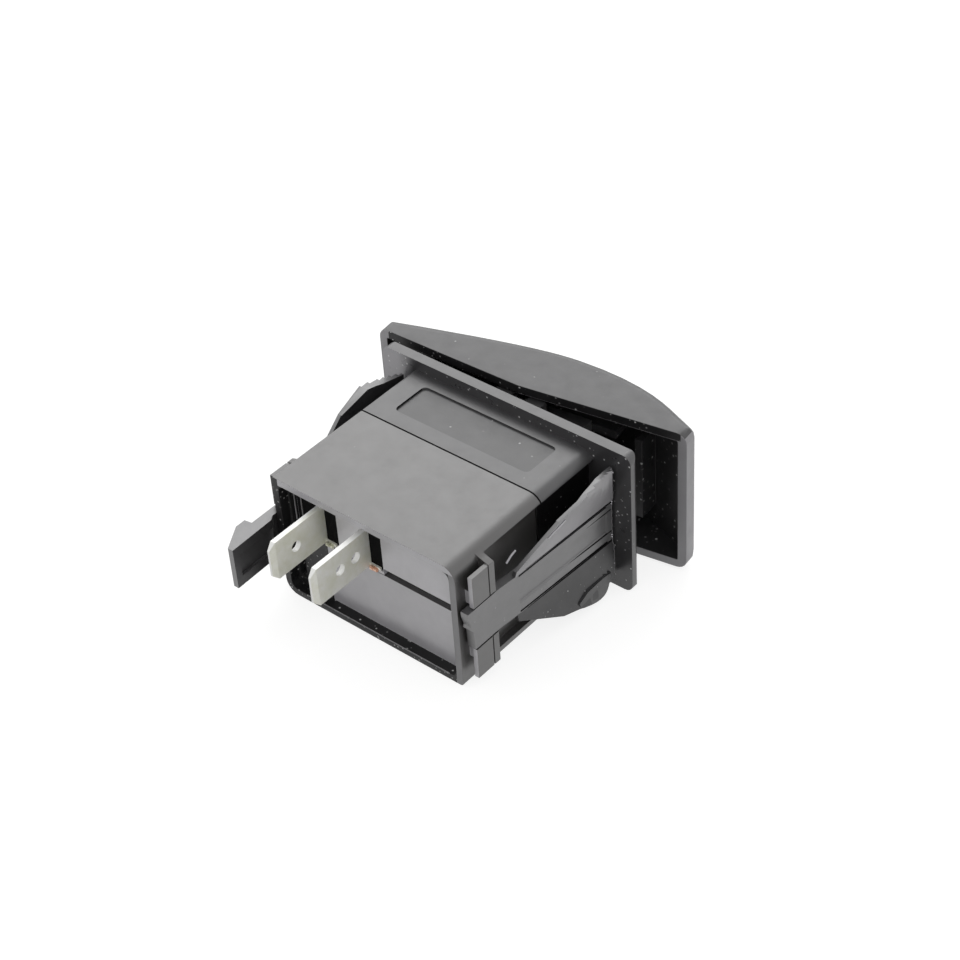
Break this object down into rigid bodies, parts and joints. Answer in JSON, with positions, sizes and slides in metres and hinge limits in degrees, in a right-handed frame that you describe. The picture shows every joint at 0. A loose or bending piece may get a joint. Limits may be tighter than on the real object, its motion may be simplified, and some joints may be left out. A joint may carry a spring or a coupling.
{
  "type": "panel rocker switch",
  "caption": "Snap-in panel rocker switch with a crowned rocker, flanged bezel, serrated side clips and quick-connect tabs behind.",
  "frame": {"origin": "centre of the bezel's rear face, where it seats on the panel", "axes": "+Y leaves the panel seat towards the terminals, so the rocker looks towards -Y; X runs along the long side of the bezel, +X towards the clip with the latch finger; Z is across the short side, and the terminals lie on its + side"},
  "size_m": [0.0515, 0.0539, 0.0244],
  "materials": {
    "black_plastic": "fine moulded black nylon with a soft sheen",
    "dark_plastic": "moulded black nylon, slightly duller",
    "grey_plastic": "dark moulded plastic, matt",
    "tin": "bright tin plate over brass",
    "copper": "bare copper alloy",
    "silver": "silver contact metal",
    "steel": "plain drawn steel",
    "rubber": "soft black rubber"
  },
  "bodies": {
    "housing": {"bezel_frame": "black_plastic", "rear_base": "black_plastic", "base_gasket": "rubber", "terminal_plate": "grey_plastic", "centre_terminal": "tin", "end_terminal": "tin", "fulcrum_bracket": "copper", "fulcrum_rivet": "copper", "fixed_contact": "silver"},
    "rocker": {"rocker_cap": "black_plastic", "rocker_carrier": "dark_plastic", "pivot_pin": "steel", "plunger_spring": "steel"},
    "plunger": {"contact_plunger": "grey_plastic"},
    "contact_arm": {"contact_blade": "copper", "moving_contact": "silver"},
    "left_clip": {"left_snap_clip": "dark_plastic"},
    "right_clip": {"right_snap_clip": "dark_plastic"}
  },
  "joints": [
    {"name": "rocker_tilt", "type": "hinge", "parent": "housing", "child": "rocker", "pos_m": [0, -0.0016, 0], "axis": [0, 0, -1], "range_deg": [0, 12]},
    {"name": "contact_tilt", "type": "hinge", "parent": "housing", "child": "contact_arm", "pos_m": [0, 0.021, 0.00457], "axis": [0, 0, 1], "range_deg": [0, 10]},
    {"name": "plunger_slide", "type": "slide", "parent": "rocker", "child": "plunger", "axis": [0.1045, -0.9945, 0], "range_m": [0, 0.0008], "stiffness_N_per_m": 200, "springref_m": -0.001, "deforming": ["plunger_spring"]},
    {"name": "left_clip_flex", "type": "hinge", "parent": "housing", "child": "left_clip", "pos_m": [-0.0173, 0.0268, 0], "axis": [0, 0, 1], "range_deg": [0, 5], "stiffness_Nm_per_rad": 1},
    {"name": "right_clip_flex", "type": "hinge", "parent": "housing", "child": "right_clip", "pos_m": [0.0173, 0.0268, 0], "axis": [0, 0, -1], "range_deg": [0, 5], "stiffness_Nm_per_rad": 1}
  ],
  "couplings": [
    {"joint": "contact_tilt", "follows": "rocker_tilt", "ratio": 0.8333}
  ]
}
